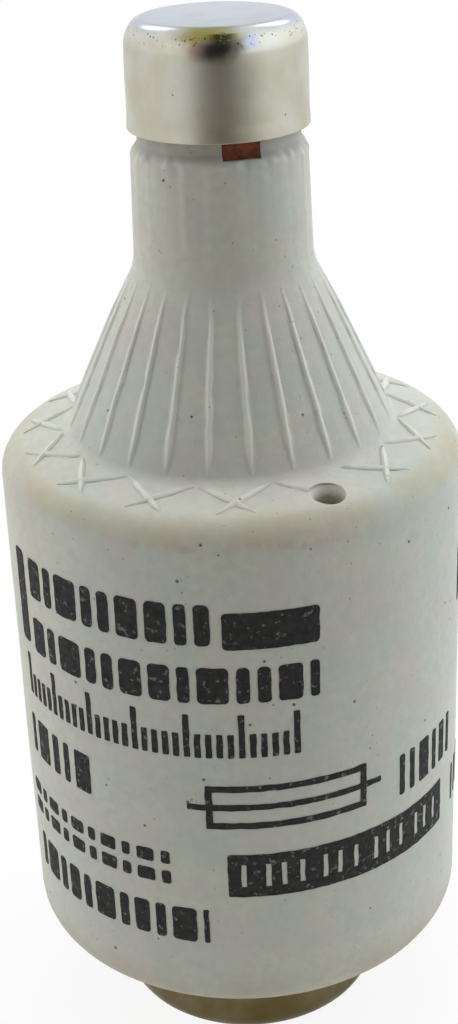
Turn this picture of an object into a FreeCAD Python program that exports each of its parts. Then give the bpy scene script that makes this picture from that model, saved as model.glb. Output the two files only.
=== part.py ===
import FreeCAD
import Part
import math
import os
from FreeCAD import Vector

# Screw-type cartridge fuse-link, millimetres.
# The link stands on its wide end: the head contact lies on z = 0 and +Z runs up through the ceramic
# bottle to the narrow foot contact. Angles are seen from above and count from -Y towards +X.

# Ceramic bottle, from the head contact upwards
contact_standoff = 5.1
barrel_length = 26.32
barrel_bottom_d = 21.62
barrel_top_d = 21.74
barrel_bottom_radius = 1.5
shoulder_fall = 0.67
shoulder_edge_radius = 1.1
cone_base_d = 15.34
cone_base_radius = 0.45
cone_length = 7.75
neck_bottom_d = 8.17
neck_bottom_radius = 2.5
neck_length = 5.11
neck_top_d = 7.87
groove_chamfer = 0.43
groove_width = 1.03
small_edge = 0.2
spigot_chamfer = 0.25

# Cavity of the bottle, which holds the sand
chamber_d = 10.0
chamber_top_z = 29.5
neck_bore_d = 3.8
neck_bore_start_z = 38.0

# Foot contact: a deep-drawn cup on the narrow end
foot_cap_height = 4.69
foot_cap_d = 8.0
foot_cap_top_d = 7.88
foot_cap_land = 2.6
foot_cap_wall = 0.28
foot_cap_edge = 0.7
foot_rim_flare = 0.045
foot_rim_height = 0.35

# Head contact: a drawn cup with a well in the middle for the indicator
head_cap_d = 13.3
head_cap_wall = 0.35
head_cap_edge = 1.2
head_rim_gap = 0.2
well_d = 4.6
well_depth = 3.2
well_lip = 0.5
wire_hole_d = 0.9

# The caps are pressed over ceramic spigots, with a fibre washer under each
cap_seat_gap = 0.04
head_washer_thickness = 0.8
foot_washer_thickness = 0.45
washer_gap = 0.08

# Copper strip that melts, folded over both rims of the ceramic
strip_width = 1.65
strip_thickness = 0.12
strip_angle = 15.0
strip_fold_radius = 0.04
strip_end_below_groove = 0.2
strip_slot_side_gap = 0.08
strip_slot_floor_gap = 0.03
strip_inset_in_bore = 0.45
strip_knee = (1.2, 37.5)
strip_inset_in_mouth = 0.35
strip_mouth_height = 1.2
head_leg_length = 2.5
notch_radius = 0.5
notch_count = 4
notch_pitch = 5.0
notch_first_z = 12.0
solder_radius = 0.6
solder_z = 22.0

# Indicator: a disc in the well, a spring behind it and the thin wire that holds it back
indicator_wire_d = 0.2
wire_leg_length = 2.5
wire_bend_radius = 0.15
wire_inset_in_bore = 0.35
wire_drop_in_bore = 1.3
wire_notch_gap = 0.05
wire_straight_z = 6.0
disc_d = 4.1
disc_thickness = 0.4
disc_recess = 0.3
disc_edge = 0.06
disc_bore_d = 0.6
dot_radius = 0.5
dot_height = 0.18
spring_d = 3.7
spring_wire_d = 0.3
spring_wire_sides = 8
spring_turns = 4
spring_disc_gap = 0.05
spring_floor_gap = 0.03

sand_gap = 0.02

# Ribs on the cone
rib_count = 25
rib_phase = 6.4
rib_width = 0.38
rib_height = 0.18
rib_crest_width = 0.12
rib_depth = 0.15
rib_top_share = 0.3
rib_top_from_neck = 0.6
rib_end_above_shoulder = 0.55
rib_point = 0.35

# Zigzag of pointed strokes on the shoulder
zigzag_periods = 15
zigzag_phase = 0.5
stroke_apex_from_cone = 0.1
stroke_cross_from_edge = 1.87
stroke_overshoot = 1.15
stroke_width = 0.5
stroke_height = 0.2
stroke_depth = 0.3

# Small blind hole in the shoulder, where one crossing would be
blind_hole_d = 1.4
blind_hole_from_edge = 1.57
blind_hole_angle = 26.2
blind_hole_depth = 1.6

# Places that follow from the sizes above
shoulder_z = contact_standoff + barrel_length
cone_top_z = shoulder_z + cone_length
neck_top_z = cone_top_z + neck_length
groove_z = neck_top_z + groove_chamfer
foot_rim_z = neck_top_z + groove_width
foot_face_z = foot_rim_z + foot_cap_height
shoulder_edge_z = shoulder_z - shoulder_fall
stroke_apex_r = cone_base_d / 2 + stroke_apex_from_cone
stroke_cross_r = barrel_top_d / 2 - stroke_cross_from_edge
blind_hole_r = barrel_top_d / 2 - blind_hole_from_edge

foot_cap_inner_r = foot_cap_top_d / 2 - foot_cap_wall
foot_spigot_r = foot_cap_inner_r - cap_seat_gap
foot_spigot_z = foot_face_z - foot_cap_wall - foot_washer_thickness
head_cap_inner_r = head_cap_d / 2 - head_cap_wall
head_spigot_r = head_cap_inner_r - cap_seat_gap
head_spigot_z = head_cap_wall + head_washer_thickness
well_outer_r = well_d / 2 + head_cap_wall
well_top_z = well_depth + head_cap_wall

Z_AXIS = Vector(0, 0, 1)


def at_angle(r, angle, z):
    """Point at radius r and height z, at an angle counted from -Y towards +X."""
    a = math.radians(angle)
    return Vector(r * math.sin(a), -r * math.cos(a), z)


def turned(shape, angle):
    """The shape turned about Z, from the plane of -Y to the plane of the given angle."""
    copy = shape.copy()
    copy.rotate(Vector(0, 0, 0), Z_AXIS, angle)
    return copy


def corner_edge(before, here, after, size):
    """Start, end and edge of one treated corner of an outline.

    A positive size rounds the corner with that radius, a negative one cuts it back by that much along both
    sides, and zero leaves it sharp. Either is limited by the two sides that it lies between."""
    if size == 0:
        return here, here, None
    back = before - here
    ahead = after - here
    half = back.getAngle(ahead) / 2
    wanted = size / math.tan(half) if size > 0 else -size
    reach = min(wanted, 0.49 * back.Length, 0.49 * ahead.Length)
    radius = reach * math.tan(half)
    back.normalize()
    ahead.normalize()
    start = here + back * reach
    end = here + ahead * reach
    if size < 0:
        return start, end, Part.LineSegment(start, end).toShape()
    middle = here + (back + ahead).normalize() * (radius / math.sin(half) - radius)
    return start, end, Part.Arc(start, middle, end).toShape()


def outline_face(corners):
    """Flat face in the plane y = 0 through (x, z, size) corners, each rounded or cut back by its size."""
    points = [Vector(x, 0, z) for x, z, size in corners]
    treated = []
    for i, corner in enumerate(corners):
        treated.append(corner_edge(points[i - 1], points[i], points[(i + 1) % len(points)], corner[2]))
    edges = []
    for i, (start, end, edge) in enumerate(treated):
        if edge:
            edges.append(edge)
        following = treated[(i + 1) % len(treated)][0]
        if end.distanceToPoint(following) > 1e-6:
            edges.append(Part.LineSegment(end, following).toShape())
    return Part.Face(Part.Wire(edges))


def revolved(corners):
    """Solid of revolution about Z from an outline of (r, z, size) corners."""
    return outline_face(corners).revolve(Vector(0, 0, 0), Z_AXIS, 360)


def ribbon(points, thickness, width, fold_radius):
    """Strip folded along (r, z) points in the plane of -Y, with its width across that plane."""
    sides = {1: [], -1: []}
    last = len(points) - 1
    for i, (r, z) in enumerate(points):
        here = Vector(r, 0, z)
        ahead = Vector(points[min(i + 1, last)][0], 0, points[min(i + 1, last)][1])
        behind = Vector(points[max(i - 1, 0)][0], 0, points[max(i - 1, 0)][1])
        along_out = ahead - here if i < last else here - behind
        along_in = here - behind if i > 0 else ahead - here
        along_out.normalize()
        along_in.normalize()
        normal_in = Vector(-along_in.z, 0, along_in.x)
        normal_out = Vector(-along_out.z, 0, along_out.x)
        mitre = normal_in + normal_out
        mitre = mitre * (1 / (1 + normal_in.dot(normal_out)))
        turn = along_in.x * along_out.z - along_in.z * along_out.x
        for side in (1, -1):
            corner = here + mitre * (side * thickness / 2)
            radius = 0.0
            if abs(turn) > 0.5:
                outside = turn * side < 0
                radius = fold_radius + (thickness if outside else 0.0)
            sides[side].append((corner.x, corner.z, radius))
    outline = sides[1] + sides[-1][::-1]
    strip = outline_face(outline).extrude(Vector(0, width, 0))
    strip.translate(Vector(0, -width / 2, 0))
    return turned(strip, -90)


def round_wire(route, diameter, bend_radius):
    """Wire bent along (r, z) points in the plane of -Y, with an arc at each bend."""
    points = [Vector(r, 0, z) for r, z in route]
    path = []
    at = points[0]
    for i in range(1, len(points) - 1):
        start, end, bend = corner_edge(points[i - 1], points[i], points[i + 1], bend_radius)
        path.append(Part.LineSegment(at, start).toShape())
        path.append(bend)
        at = end
    path.append(Part.LineSegment(at, points[-1]).toShape())
    section = Part.Wire(Part.makeCircle(diameter / 2, points[0], points[1] - points[0]))
    return turned(Part.Wire(path).makePipeShell([section], True, False), -90)


def polygon(points):
    """Flat face through the points."""
    return Part.Face(Part.makePolygon(points + points[:1]))


def closed_solid(faces):
    """Solid bounded by the faces, right side out."""
    solid = Part.Solid(Part.Shell(faces))
    if solid.Volume < 0:
        solid.reverse()
    return solid


def shoulder_height(r):
    """Height of the sloping shoulder, without its rounded edges, at radius r."""
    run = barrel_top_d / 2 - cone_base_d / 2
    return shoulder_z - shoulder_fall * (r - cone_base_d / 2) / run


def rib():
    """One rib: a slim ridge with a narrow crest that grows down the cone and ends in a point."""
    slope = (cone_base_d - neck_bottom_d) / 2 / cone_length
    outward = Vector(0, -1, slope).normalize()
    foot_width = rib_width * (1 + rib_depth / rib_height)
    ends = []
    for fall, share in ((rib_top_from_neck, rib_top_share), (cone_length - rib_end_above_shoulder, 1.0)):
        seat = Vector(0, -(neck_bottom_d / 2 + slope * fall), cone_top_z - fall)
        foot = seat - outward * (rib_depth * share)
        crest = seat + outward * (rib_height * share)
        foot_half = Vector(foot_width / 2 * share, 0, 0)
        crest_half = Vector(rib_crest_width / 2 * share, 0, 0)
        ends.append([foot - foot_half, crest - crest_half, crest + crest_half, foot + foot_half])
    top, low = ends
    down = (low[0] - top[0] + low[3] - top[3]).normalize()
    tip = (low[0] + low[3]) * 0.5 + outward * rib_depth + down * rib_point
    faces = [polygon(top), polygon([low[0], low[3], tip])]
    for i in range(4):
        j = (i + 1) % 4
        faces.append(polygon([top[i], top[j], low[j], low[i]]))
    for i in range(3):
        faces.append(polygon([low[i], low[i + 1], tip]))
    return turned(closed_solid(faces), rib_phase)


def stroke(start, end):
    """One pointed stroke: a ridge with a sharp crest, widest and highest half way."""
    along = (end - start).normalize()
    across = along.cross(Z_AXIS).normalize()
    middle = (start + end) * 0.5
    middle.z = shoulder_height(math.hypot(middle.x, middle.y))
    left = middle + across * (stroke_width / 2)
    right = middle - across * (stroke_width / 2)
    crest = middle + Z_AXIS * stroke_height
    keel = middle - Z_AXIS * stroke_depth
    ring = [left, crest, right, keel]
    faces = []
    for i in range(4):
        for point in (start, end):
            faces.append(polygon([point, ring[i], ring[(i + 1) % 4]]))
    return closed_solid(faces)


def zigzag():
    """All strokes: from each inner apex to both sides, through the crossing and a little past it."""
    step = 360.0 / zigzag_periods
    strokes = []
    for k in range(zigzag_periods):
        apex_angle = zigzag_phase + (k + 0.5) * step
        apex = at_angle(stroke_apex_r, apex_angle, shoulder_height(stroke_apex_r))
        for side in (-1, 1):
            cross = at_angle(stroke_cross_r, apex_angle + side * step / 2, apex.z)
            reach = (cross - apex).normalize() * stroke_overshoot
            tip = cross + reach
            tip.z = shoulder_height(math.hypot(tip.x, tip.y))
            strokes.append(stroke(apex, tip))
    return strokes


def strip_path():
    """Centre line of the copper strip as (r, z) points, from its end in the groove to the head rim."""
    half = strip_thickness / 2
    foot_out = math.sqrt(foot_spigot_r ** 2 - (strip_width / 2) ** 2) - half
    foot_in = neck_bore_d / 2 - strip_inset_in_bore
    foot_over = foot_spigot_z + half + strip_slot_floor_gap
    head_out = math.sqrt(head_spigot_r ** 2 - (strip_width / 2) ** 2) - half
    head_in = chamber_d / 2 - strip_inset_in_mouth
    head_over = head_spigot_z - half - strip_slot_floor_gap
    return [
        (foot_out, groove_z - strip_end_below_groove),
        (foot_out, foot_over),
        (foot_in, foot_over),
        strip_knee,
        (head_in, head_spigot_z + strip_mouth_height),
        (head_in, head_over),
        (head_out, head_over),
        (head_out, head_spigot_z + head_leg_length),
    ]


def strip_slot(leg_r, low_z, high_z):
    """Cutter for the shallow slot in which one outer leg of the strip lies."""
    floor_r = leg_r - strip_thickness / 2 - strip_slot_floor_gap
    width = strip_width + 2 * strip_slot_side_gap
    depth = 2.0
    corner = Vector(-width / 2, -floor_r - depth, low_z)
    return turned(Part.makeBox(width, depth, high_z - low_z, corner), strip_angle)


def wire_path():
    """Centre line of the indicator wire as (r, z) points, on the side away from the strip."""
    half = indicator_wire_d / 2
    leg_r = foot_spigot_r - half
    over_z = foot_spigot_z + half + wire_notch_gap
    in_r = neck_bore_d / 2 - wire_inset_in_bore
    end_z = disc_recess + disc_thickness / 2
    return [
        (leg_r, foot_spigot_z - wire_leg_length),
        (leg_r, over_z),
        (in_r, over_z),
        (in_r, over_z - wire_drop_in_bore),
        (0.0, wire_straight_z),
        (0.0, end_z),
    ]


def wire_notch():
    """Cutter for the small notch in the foot spigot in which the wire's outer leg lies."""
    width = indicator_wire_d + 2 * wire_notch_gap
    depth = 2.0
    leg = foot_spigot_r - indicator_wire_d - wire_notch_gap
    low_z = foot_spigot_z - wire_leg_length - wire_notch_gap
    corner = Vector(-width / 2, -leg - depth, low_z)
    return turned(Part.makeBox(width, depth, foot_spigot_z - low_z + 1.0, corner), strip_angle + 180)


def make_ceramic_body():
    body = revolved([
        (chamber_d / 2, head_spigot_z, -small_edge),
        (head_spigot_r, head_spigot_z, -spigot_chamfer),
        (head_spigot_r, contact_standoff, 0.0),
        (barrel_bottom_d / 2, contact_standoff, barrel_bottom_radius),
        (barrel_top_d / 2, shoulder_edge_z, shoulder_edge_radius),
        (cone_base_d / 2, shoulder_z, cone_base_radius),
        (neck_bottom_d / 2, cone_top_z, neck_bottom_radius),
        (neck_top_d / 2, neck_top_z, small_edge),
        (foot_spigot_r, groove_z, small_edge),
        (foot_spigot_r, foot_spigot_z, -spigot_chamfer),
        (neck_bore_d / 2, foot_spigot_z, -small_edge),
        (neck_bore_d / 2, neck_bore_start_z, 0.0),
        (chamber_d / 2, chamber_top_z, 0.0),
    ])
    first = rib()
    ribs = [turned(first, k * 360.0 / rib_count) for k in range(rib_count)]
    body = body.multiFuse(ribs + zigzag())
    hole_top = shoulder_z + 1.0
    hole_low = shoulder_height(blind_hole_r) - blind_hole_depth
    hole_base = at_angle(blind_hole_r, blind_hole_angle, hole_low)
    hole = Part.makeCylinder(blind_hole_d / 2, hole_top - hole_low, hole_base)
    path = strip_path()
    foot_slot = strip_slot(path[0][0], path[0][1] - strip_slot_floor_gap, foot_spigot_z + 1.0)
    head_slot = strip_slot(path[-1][0], 0.0, path[-1][1] + small_edge)
    return body.cut([hole, foot_slot, head_slot, wire_notch()])


def inner_cut(edge_radius, wall):
    """How far a cup's inner corner is cut back behind its rounded edge, which keeps the wall's thickness."""
    return max(edge_radius - wall, 0.0) * (2 - math.sqrt(2))


def make_foot_contact_cap():
    rim_r = foot_cap_d / 2
    top_r = foot_cap_top_d / 2
    inner_rim_r = rim_r - foot_cap_wall
    land_z = foot_rim_z + foot_cap_land
    return revolved([
        (0.0, foot_face_z, 0.0),
        (top_r, foot_face_z, foot_cap_edge),
        (rim_r, land_z, 0.0),
        (rim_r, foot_rim_z + foot_rim_height, 0.0),
        (rim_r + foot_rim_flare, foot_rim_z, 0.0),
        (inner_rim_r + foot_rim_flare, foot_rim_z, 0.0),
        (inner_rim_r, foot_rim_z + foot_rim_height, 0.0),
        (inner_rim_r, land_z, 0.0),
        (foot_cap_inner_r, foot_face_z - foot_cap_wall, -inner_cut(foot_cap_edge, foot_cap_wall)),
        (0.0, foot_face_z - foot_cap_wall, 0.0),
    ])


def make_head_contact_cap():
    outer_r = head_cap_d / 2
    rim_z = contact_standoff - head_rim_gap
    hole_r = wire_hole_d / 2
    wall = head_cap_wall
    return revolved([
        (outer_r, rim_z, 0.0),
        (outer_r, 0.0, head_cap_edge),
        (well_d / 2, 0.0, well_lip),
        (well_d / 2, well_depth, 0.0),
        (hole_r, well_depth, 0.0),
        (hole_r, well_top_z, 0.0),
        (well_outer_r, well_top_z, -wall),
        (well_outer_r, wall, 0.0),
        (head_cap_inner_r, wall, -inner_cut(head_cap_edge, wall)),
        (head_cap_inner_r, rim_z, 0.0),
    ])


def make_fuse_strip():
    path = strip_path()
    strip = ribbon(path, strip_thickness, strip_width, strip_fold_radius)
    cutters = []
    for k in range(notch_count):
        z = notch_first_z + k * notch_pitch
        for side in (-1, 1):
            start = Vector(side * strip_width / 2, 0, z)
            cutters.append(Part.makeCylinder(notch_radius, chamber_d, start, Vector(0, -1, 0)))
    return turned(strip.cut(cutters), strip_angle)


def make_overload_solder():
    knee_r, knee_z = strip_knee
    low_r, low_z = strip_path()[4]
    share = (knee_z - solder_z) / (knee_z - low_z)
    centre_r = knee_r + share * (low_r - knee_r)
    along = Vector(0, -(low_r - knee_r), low_z - knee_z).normalize()
    inward = Vector(0, -along.z, along.y)
    if inward.y < 0:
        inward = inward * -1
    seat = Vector(0, -centre_r, solder_z) + inward * (strip_thickness / 2)
    return turned(Part.makeSphere(solder_radius, seat, inward, 0, 90, 360), strip_angle)


def make_indicator_wire():
    wire = round_wire(wire_path(), indicator_wire_d, wire_bend_radius)
    return turned(wire, strip_angle + 180)


def make_head_sealing_washer(strip):
    low_z = head_cap_wall
    outer_r = head_cap_inner_r - washer_gap
    cut = inner_cut(head_cap_edge, head_cap_wall)
    washer = revolved([
        (well_outer_r + washer_gap, low_z, 0.0),
        (outer_r - cut, low_z, 0.0),
        (outer_r, low_z + cut, 0.0),
        (outer_r, head_spigot_z, 0.0),
        (well_outer_r + washer_gap, head_spigot_z, 0.0),
    ])
    return washer.cut(strip)


def washer_groove(inner_r, width, height, angle):
    """Cutter for the groove under the foot washer where the strip or the wire crosses the ceramic rim."""
    corner = Vector(-width / 2, -foot_cap_inner_r, foot_spigot_z)
    return turned(Part.makeBox(width, foot_cap_inner_r - inner_r, height, corner), angle)


def make_foot_sealing_washer():
    top_z = foot_spigot_z + foot_washer_thickness
    outer_r = foot_cap_inner_r - washer_gap
    cut = inner_cut(foot_cap_edge, foot_cap_wall)
    washer = revolved([
        (0.0, foot_spigot_z, 0.0),
        (outer_r, foot_spigot_z, 0.0),
        (outer_r, top_z - cut, 0.0),
        (outer_r - cut, top_z, 0.0),
        (0.0, top_z, 0.0),
    ])
    strip_in = strip_path()[2][0] - strip_thickness / 2 - strip_slot_floor_gap
    strip_groove = washer_groove(
        strip_in,
        strip_width + 2 * strip_slot_side_gap,
        strip_thickness + 2 * strip_slot_floor_gap,
        strip_angle,
    )
    wire_in = wire_path()[2][0] - indicator_wire_d / 2 - wire_notch_gap
    wire_space = indicator_wire_d + 2 * wire_notch_gap
    wire_groove = washer_groove(wire_in, wire_space, wire_space, strip_angle + 180)
    return washer.cut([strip_groove, wire_groove])


def make_quartz_sand(strip, solder, wire):
    fill = revolved([
        (well_outer_r + washer_gap, head_spigot_z, 0.0),
        (chamber_d / 2 - sand_gap, head_spigot_z, 0.0),
        (chamber_d / 2 - sand_gap, chamber_top_z, 0.0),
        (neck_bore_d / 2 - sand_gap, neck_bore_start_z, 0.0),
        (neck_bore_d / 2 - sand_gap, foot_spigot_z - sand_gap, 0.0),
        (0.0, foot_spigot_z - sand_gap, 0.0),
        (0.0, well_top_z + sand_gap, 0.0),
        (well_outer_r + washer_gap, well_top_z + sand_gap, 0.0),
    ])
    return fill.cut([strip, solder, wire])


def make_indicator_disc():
    low_z = disc_recess
    top_z = disc_recess + disc_thickness
    return revolved([
        (disc_bore_d / 2, low_z, 0.0),
        (disc_d / 2, low_z, -disc_edge),
        (disc_d / 2, top_z, -disc_edge),
        (disc_bore_d / 2, top_z, 0.0),
    ])


def make_disc_solder_dot():
    sphere_r = (dot_radius ** 2 + dot_height ** 2) / (2 * dot_height)
    centre = Vector(0, 0, disc_recess - dot_height + sphere_r)
    block = Part.makeCylinder(dot_radius, dot_height, Vector(0, 0, disc_recess - dot_height))
    return Part.makeSphere(sphere_r, centre).common(block)


def make_indicator_spring():
    """Coil spring between the disc and the bottom of the well, its wire drawn with eight sides."""
    low_z = disc_recess + disc_thickness + spring_disc_gap
    high_z = well_depth - spring_floor_gap
    coil_r = (spring_d - spring_wire_d) / 2
    pitch = (high_z - low_z - spring_wire_d) / spring_turns
    start = Vector(coil_r, 0, low_z + spring_wire_d / 2)
    outward = Vector(spring_wire_d / 2, 0, 0)
    heading = Vector(0, coil_r, pitch / (2 * math.pi)).normalize()
    upward = outward.cross(heading)
    corners = []
    for k in range(spring_wire_sides):
        a = 2 * math.pi * (k + 0.5) / spring_wire_sides
        corners.append(start + outward * math.cos(a) + upward * math.sin(a))
    section = Part.makePolygon(corners + corners[:1])
    helix = Part.makeHelix(pitch, pitch * spring_turns, coil_r)
    helix.translate(Vector(0, 0, start.z))
    return Part.Wire(helix).makePipeShell([section], True, True)


def make_parts():
    strip = make_fuse_strip()
    solder = make_overload_solder()
    wire = make_indicator_wire()
    return {
        "ceramic_body": make_ceramic_body(),
        "foot_contact_cap": make_foot_contact_cap(),
        "head_contact_cap": make_head_contact_cap(),
        "fuse_strip": strip,
        "overload_solder": solder,
        "indicator_wire": wire,
        "indicator_disc": make_indicator_disc(),
        "disc_solder_dot": make_disc_solder_dot(),
        "indicator_spring": make_indicator_spring(),
        "head_sealing_washer": make_head_sealing_washer(strip),
        "foot_sealing_washer": make_foot_sealing_washer(),
        "quartz_sand": make_quartz_sand(strip, solder, wire),
    }


os.makedirs("parts", exist_ok=True)
for name, shape in make_parts().items():
    print(name, "solids", len(shape.Solids), "valid", shape.isValid(), "volume", round(shape.Volume, 4))
    shape.exportStep(f"parts/{name}.step")
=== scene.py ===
import math

import bmesh
import bpy
from mathutils import Matrix, Vector, noise


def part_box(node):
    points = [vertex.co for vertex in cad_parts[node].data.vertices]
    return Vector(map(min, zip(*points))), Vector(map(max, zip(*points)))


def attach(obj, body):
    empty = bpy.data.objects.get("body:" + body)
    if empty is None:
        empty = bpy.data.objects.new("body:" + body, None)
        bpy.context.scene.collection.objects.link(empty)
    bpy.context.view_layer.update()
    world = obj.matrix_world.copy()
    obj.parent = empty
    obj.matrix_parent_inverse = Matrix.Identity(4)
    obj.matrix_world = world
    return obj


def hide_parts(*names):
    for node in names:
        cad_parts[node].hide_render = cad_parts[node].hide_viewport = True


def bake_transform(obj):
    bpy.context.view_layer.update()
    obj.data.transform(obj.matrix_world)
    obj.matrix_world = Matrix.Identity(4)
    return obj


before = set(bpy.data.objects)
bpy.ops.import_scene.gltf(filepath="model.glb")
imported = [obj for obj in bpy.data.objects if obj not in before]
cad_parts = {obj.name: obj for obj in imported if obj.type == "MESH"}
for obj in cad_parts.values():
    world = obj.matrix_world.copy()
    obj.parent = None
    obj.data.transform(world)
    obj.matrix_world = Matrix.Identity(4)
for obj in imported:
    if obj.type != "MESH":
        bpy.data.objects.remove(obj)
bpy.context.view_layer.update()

# Modelling is in millimetres and is brought to metres when a piece is finished
MM = 0.001


def box_mm(part):
    """Lowest and highest corner of a part of the frame, in millimetres."""
    low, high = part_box(part)
    return low / MM, high / MM


ceramic_low, ceramic_high = box_mm("ceramic_body")
foot_low, foot_high = box_mm("foot_contact_cap")
head_high = box_mm("head_contact_cap")[1]
disc_low, disc_high = box_mm("indicator_disc")
dot_low, dot_high = box_mm("disc_solder_dot")
spring_low, spring_high = box_mm("indicator_spring")

# Ceramic bottle, millimetres, from the head contact upwards
barrel_bottom_z = 5.1
barrel_bottom_r = 10.81
barrel_bottom_round = 1.5
shoulder_z = 31.42
shoulder_fall = 0.67
barrel_top_r = 10.87
shoulder_round = 1.1
cone_base_r = 7.67
cone_base_reach = 0.32
cone_top_z = 39.17
neck_bottom_r = 4.085
neck_bottom_reach = 0.55
neck_top_z = 44.28
neck_top_r = 3.935
groove_z = 44.71
foot_spigot_r = 3.62
head_spigot_r = 6.26
spigot_bevel = 0.25
chamber_r = 5.0
chamber_top_z = 29.5
neck_bore_r = 1.9
neck_bore_z = 38.0
small_edge = 0.2

# Slow waves of a pressed and fired body. A rate is always the number of noise cells per millimetre
barrel_wave = 0.03
barrel_wave_rate = 0.16

# Ribs on the cone
rib_count = 25
rib_phase = 6.4
rib_top_half_width = 0.1
rib_low_half_width = 0.22
rib_height = 0.12
rib_raggedness = 0.3
rib_ragged_rate = 1.3
rib_wander = 0.05
rib_wander_rate = 0.9
rib_point = 0.15
rib_crest = 0.9
rib_start_from_neck = 0.2
rib_end_from_shoulder = 0.3
rib_fade_top = 2.2
rib_fade_low = 1.3
chip_depth = 0.1
chip_rate = 2.2
chip_low_z = 43.9
chip_fade_low = 0.3
chip_fade_top = 0.25
steps_per_rib = 16
rib_crowding = 0.72

# Zigzag of pointed strokes on the shoulder
zigzag_periods = 15
zigzag_phase = 0.5
stroke_apex_r = 7.77
stroke_cross_r = 9.0
stroke_overshoot = 1.15
stroke_half_width = 0.21
stroke_height = 0.16
stroke_roundness = 1.2
stroke_crest = 1.3
stroke_raggedness = 0.04
stroke_ragged_rate = 2.5
stroke_segments = 16

# Small blind hole in the shoulder
hole_r = 0.64
hole_flare = 0.22
hole_place_r = 9.3
hole_angle = 26.2
hole_depth = 1.6
hole_floor_round = 0.15
hole_rim_round = 0.18
hole_rim_rise = 0.05
hole_steps = 48
past_surface = 1.0

# Slots for the strip and the indicator wire
strip_angle = 15.0
strip_slot_width = 1.69
strip_slot_depth_foot = 0.26
strip_slot_depth_head = 0.21
head_slot_top_z = 3.85
foot_slot_low_z = 44.5
wire_notch_width = 0.3
wire_notch_depth = 0.25
wire_notch_low_z = 46.72


def at_angle(r, degrees, z):
    """Point at radius r and height z, at an angle counted from -Y towards +X."""
    a = math.radians(degrees - 90.0)
    return Vector((r * math.cos(a), r * math.sin(a), z))


def linear(code):
    """Linear colour for an sRGB hex value."""
    parts = [int(code[i:i + 2], 16) / 255 for i in (1, 3, 5)]
    return [p / 12.92 if p <= 0.04045 else ((p + 0.055) / 1.055) ** 2.4 for p in parts] + [1.0]


def per_mm(size):
    """Texture scale, per metre, for a pattern whose features are that many millimetres apart."""
    return 1.0 / (size * MM)


def new_material(name):
    material = bpy.data.materials.new(name)
    material.use_nodes = True
    material.node_tree.nodes.clear()
    return material


def placed_material(name):
    """Empty material, and the object coordinates in it."""
    m = new_material(name)
    return m, node(m, "TexCoord").outputs["Object"]


def node(owner, kind, sockets=None, **settings):
    """Adds a shader node. A socket takes a value, an output or a node, of which it takes the first live
    output. Settings are the node's own fields."""
    made = owner.node_tree.nodes.new("ShaderNode" + kind)
    for field, value in settings.items():
        setattr(made, field, value)
    for key, value in (sockets or {}).items():
        if isinstance(value, bpy.types.Node):
            value = next(output for output in value.outputs if output.enabled)
        if isinstance(value, bpy.types.NodeSocket):
            owner.node_tree.links.new(value, made.inputs[key])
        else:
            made.inputs[key].default_value = value
    return made


def surface(m, sockets):
    """Ends a material with its shader."""
    node(m, "OutputMaterial", {"Surface": node(m, "BsdfPrincipled", sockets)})
    return m


def axes_mm(m, place):
    """The three object coordinates, in millimetres."""
    scaled = node(m, "VectorMath", {0: place, "Scale": 1.0 / MM}, operation="SCALE")
    return node(m, "SeparateXYZ", {0: scaled}).outputs


def radius_mm(m, place):
    """Distance from the link's axis, in millimetres."""
    flat = node(m, "VectorMath", {0: place, 1: (1.0 / MM, 1.0 / MM, 0.0)}, operation="MULTIPLY")
    return node(m, "VectorMath", {0: flat}, operation="LENGTH")


def patches(m, place, size, low=0.3, high=0.7, start=0.0, end=1.0, detail=3.0):
    """Soft patches of that many millimetres, from start to end as their noise goes from low to high."""
    drift = node(m, "TexNoise", {"Vector": place, "Scale": per_mm(size), "Detail": detail})
    ends = {"From Min": low, "From Max": high, "To Min": start, "To Max": end}
    return node(m, "MapRange", {"Value": drift, **ends}, interpolation_type="SMOOTHSTEP")


def two_tone(m, place, size, first, second, low=0.3, high=0.7, detail=3.0):
    """Colour that drifts between two in patches of that many millimetres."""
    share = patches(m, place, size, low, high, detail=detail)
    return node(m, "Mix", {0: share, 6: linear(first), 7: linear(second)}, data_type="RGBA")


def overlay(m, tone, colour, strength, *masks):
    """Lays a colour over a tone where all the masks are, as strongly as that share."""
    share = masks[0]
    for factor in masks[1:] + (strength,):
        share = node(m, "Math", {0: share, 1: factor}, operation="MULTIPLY")
    return node(m, "Mix", {0: share, 6: tone, 7: linear(colour)}, data_type="RGBA")


# Ramps that lie below and above every value, for a belt that has one soft edge
from_start = (-1000.0, -999.0)
to_end = (999.0, 1000.0)


def belt(m, value, rise=from_start, fall=to_end):
    """Mask with soft edges: it rises over the first pair of values and falls over the second."""
    up, down = [
        node(m, "MapRange", {"Value": value, "From Min": first, "From Max": last},
             interpolation_type="SMOOTHSTEP")
        for first, last in (rise, fall[::-1])
    ]
    return node(m, "Math", {0: up, 1: down}, operation="MULTIPLY")


def specks(m, place, spacing, radius, kept):
    """Mask of small round spots, up to that radius, in a share of the cells of that spacing."""
    cells = node(m, "TexVoronoi", {"Vector": place, "Scale": per_mm(spacing)})
    chance, size = node(m, "SeparateColor", {0: cells.outputs["Color"]}).outputs[:2]
    chosen = node(m, "Math", {0: chance, 1: kept}, operation="LESS_THAN")
    widest = radius / spacing
    edge = node(m, "MapRange", {"Value": size, "To Min": 0.4 * widest, "To Max": widest})
    core = node(m, "Math", {0: edge, 1: 0.45}, operation="MULTIPLY")
    ends = {"From Min": core, "From Max": edge, "To Min": 1.0, "To Max": 0.0}
    spot = node(m, "MapRange", {"Value": cells.outputs["Distance"], **ends})
    return node(m, "Math", {0: spot, 1: chosen}, operation="MULTIPLY")


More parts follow.
